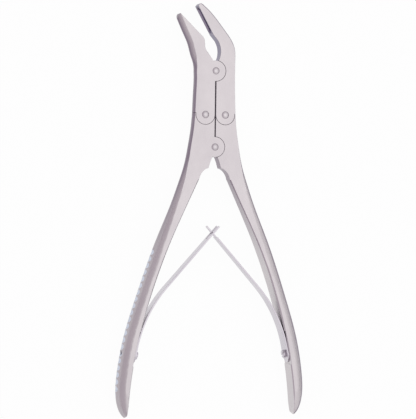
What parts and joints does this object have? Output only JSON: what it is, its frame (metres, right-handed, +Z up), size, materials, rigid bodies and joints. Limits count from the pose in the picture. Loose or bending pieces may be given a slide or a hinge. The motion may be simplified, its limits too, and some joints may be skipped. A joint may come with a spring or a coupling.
{
  "type": "bone rongeur",
  "caption": "Double-action bone rongeur with cupped jaws that lean to one side, long spread grips with finger grooves on one of them, and crossed leaf springs that open it.",
  "frame": {"origin": "bottom centre of the bounding box, on the surface that the instrument lies on, between the grips", "axes": "+Y towards the jaws along the long axis, +Z up through the plates along the pivots, +X towards the smooth grip"},
  "size_m": [0.1072, 0.2266, 0.0115],
  "materials": {
    "body_steel": "satin, glass-beaded, with brighter edges",
    "jaw_steel": "satin with ground bite edges",
    "pin_steel": "finely turned",
    "spring_steel": "polished along its length",
    "screw_steel": "turned"
  },
  "bodies": {
    "left_handle": {"left_handle": "body_steel", "rear_pin": "pin_steel", "left_pin": "pin_steel", "left_leaf_spring": "spring_steel", "left_spring_screw": "screw_steel"},
    "right_handle": {"right_handle": "body_steel", "right_pin": "pin_steel", "right_leaf_spring": "spring_steel", "right_spring_screw": "screw_steel"},
    "left_jaw": {"left_jaw": "jaw_steel", "front_pin": "pin_steel"},
    "right_jaw": {"right_jaw": "jaw_steel"}
  },
  "joints": [
    {"name": "rear_pivot", "type": "hinge", "parent": "left_handle", "child": "right_handle", "pos_m": [0, 0.0347, 0.00575], "axis": [0, 0, 1], "range_deg": [-23.63, 0], "stiffness_Nm_per_rad": 1.4, "springref_deg": 20.05, "deforming": ["left_leaf_spring", "right_leaf_spring"]},
    {"name": "left_jaw_pivot", "type": "hinge", "parent": "left_handle", "child": "left_jaw", "pos_m": [-0.0057, 0.0524, 0.00575], "axis": [0, 0, 1], "range_deg": [-20.4, 0]},
    {"name": "right_jaw_pivot", "type": "hinge", "parent": "right_handle", "child": "right_jaw", "pos_m": [0.0057, 0.0524, 0.00575], "axis": [0, 0, 1], "range_deg": [0, 20.4]}
  ],
  "couplings": [
    {"joint": "left_jaw_pivot", "follows": "rear_pivot", "ratio": 0.85965},
    {"joint": "right_jaw_pivot", "follows": "rear_pivot", "ratio": -0.85965}
  ]
}
